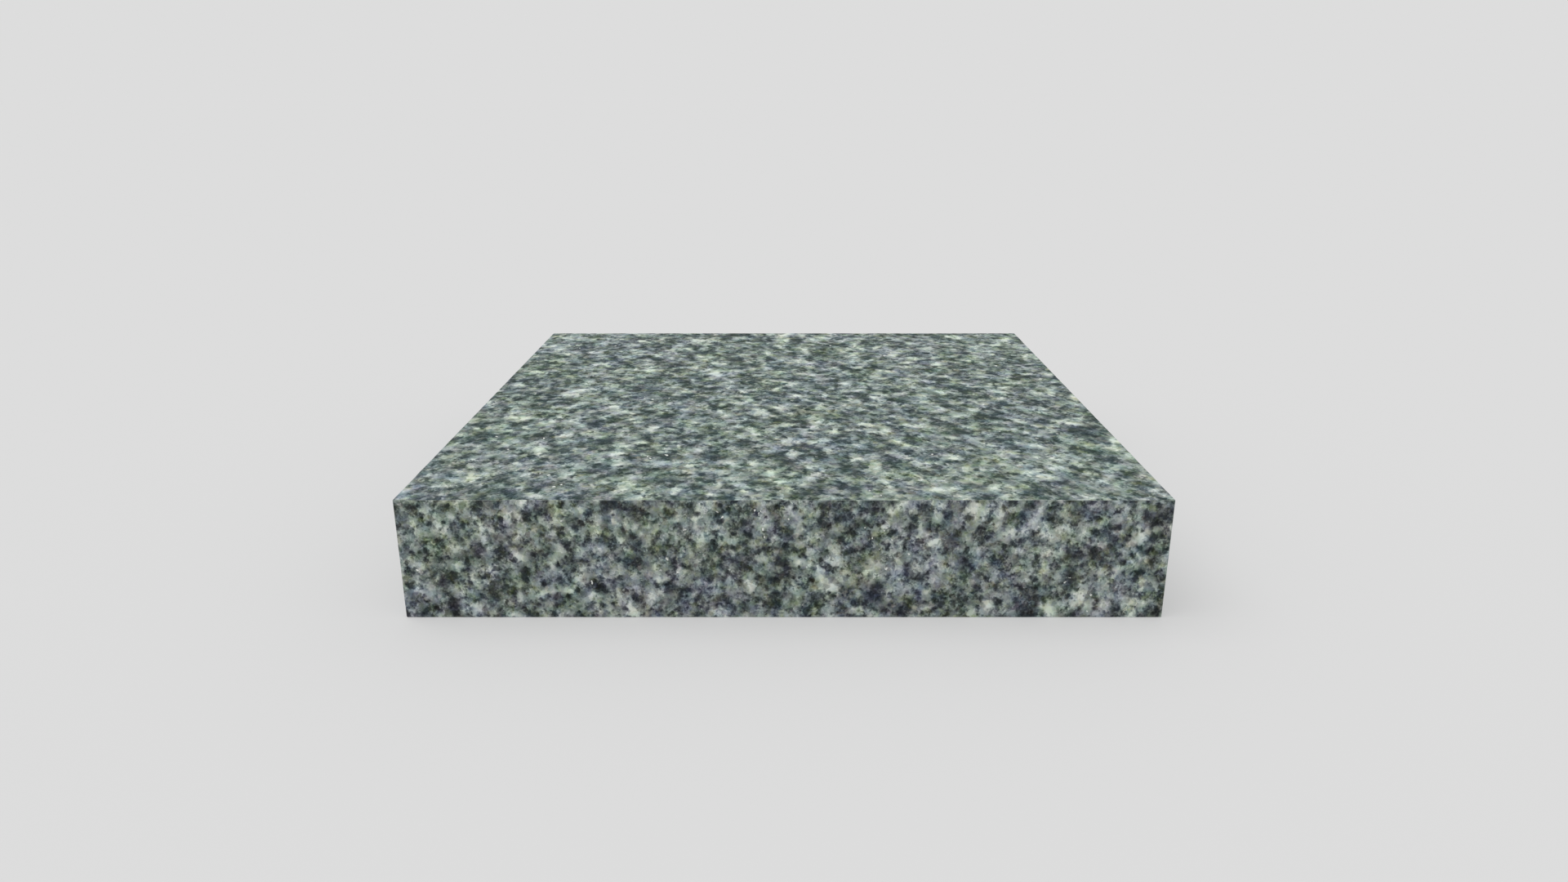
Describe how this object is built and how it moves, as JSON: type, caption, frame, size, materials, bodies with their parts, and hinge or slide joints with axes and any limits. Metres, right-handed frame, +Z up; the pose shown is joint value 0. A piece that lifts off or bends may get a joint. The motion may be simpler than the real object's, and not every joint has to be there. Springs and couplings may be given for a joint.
{
  "type": "granite slab",
  "caption": "Thick square granite slab with a flat honed face, laid on a bench as a hard, heavy surface for tooling, stamping and skiving leather.",
  "frame": {"origin": "centre of the underside, the face that the slab lies on", "axes": "+Z up through the thickness, out of the working face; +X and +Y along the edges of the square faces"},
  "size_m": [0.3048, 0.3048, 0.0508],
  "materials": {
    "granite": "satin"
  },
  "bodies": {
    "root": {"granite_slab": "granite"}
  },
  "joints": []
}
